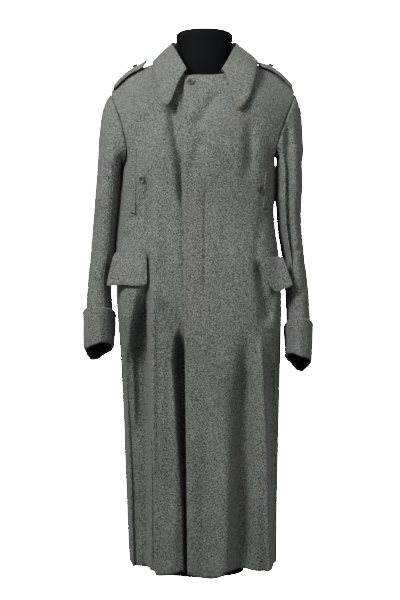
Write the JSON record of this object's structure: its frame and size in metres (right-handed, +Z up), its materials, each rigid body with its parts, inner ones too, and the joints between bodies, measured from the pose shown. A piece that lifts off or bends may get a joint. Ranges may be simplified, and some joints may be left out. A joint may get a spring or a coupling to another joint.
{
  "type": "military overcoat on a dress form",
  "caption": "Long wool overcoat with fly front, turned-down collar, shoulder straps, flap pockets and turned-back cuffs, on a limbless dress form with a round base.",
  "frame": {"origin": "centre of the base's underside, on the floor", "axes": "+Z up, the coat's front faces -Y, the wearer's left side is at +X"},
  "size_m": [0.5597, 0.3251, 1.311],
  "materials": {
    "wool": "felted wool melton, grey green melange",
    "buttons": "dark green horn, half matt",
    "form_cover": "black stretch jersey",
    "stand": "black, half matt"
  },
  "bodies": {
    "root": {"front_right": "wool", "front_left": "wool", "back_right": "wool", "back_left": "wool", "sleeve_right_top": "wool", "sleeve_right_under": "wool", "sleeve_left_top": "wool", "sleeve_left_under": "wool", "cuff_right": "wool", "cuff_left": "wool", "collar": "wool", "pocket_flap_right": "wool", "pocket_flap_left": "wool", "pocket_welt_right": "wool", "pocket_welt_left": "wool", "shoulder_strap_right": "wool", "shoulder_strap_left": "wool", "collar_button": "buttons", "pocket_button_right": "buttons", "pocket_button_left": "buttons", "strap_button_right": "buttons", "strap_button_left": "buttons", "form_torso": "form_cover", "form_pole": "stand", "form_base": "stand"}
  },
  "joints": []
}
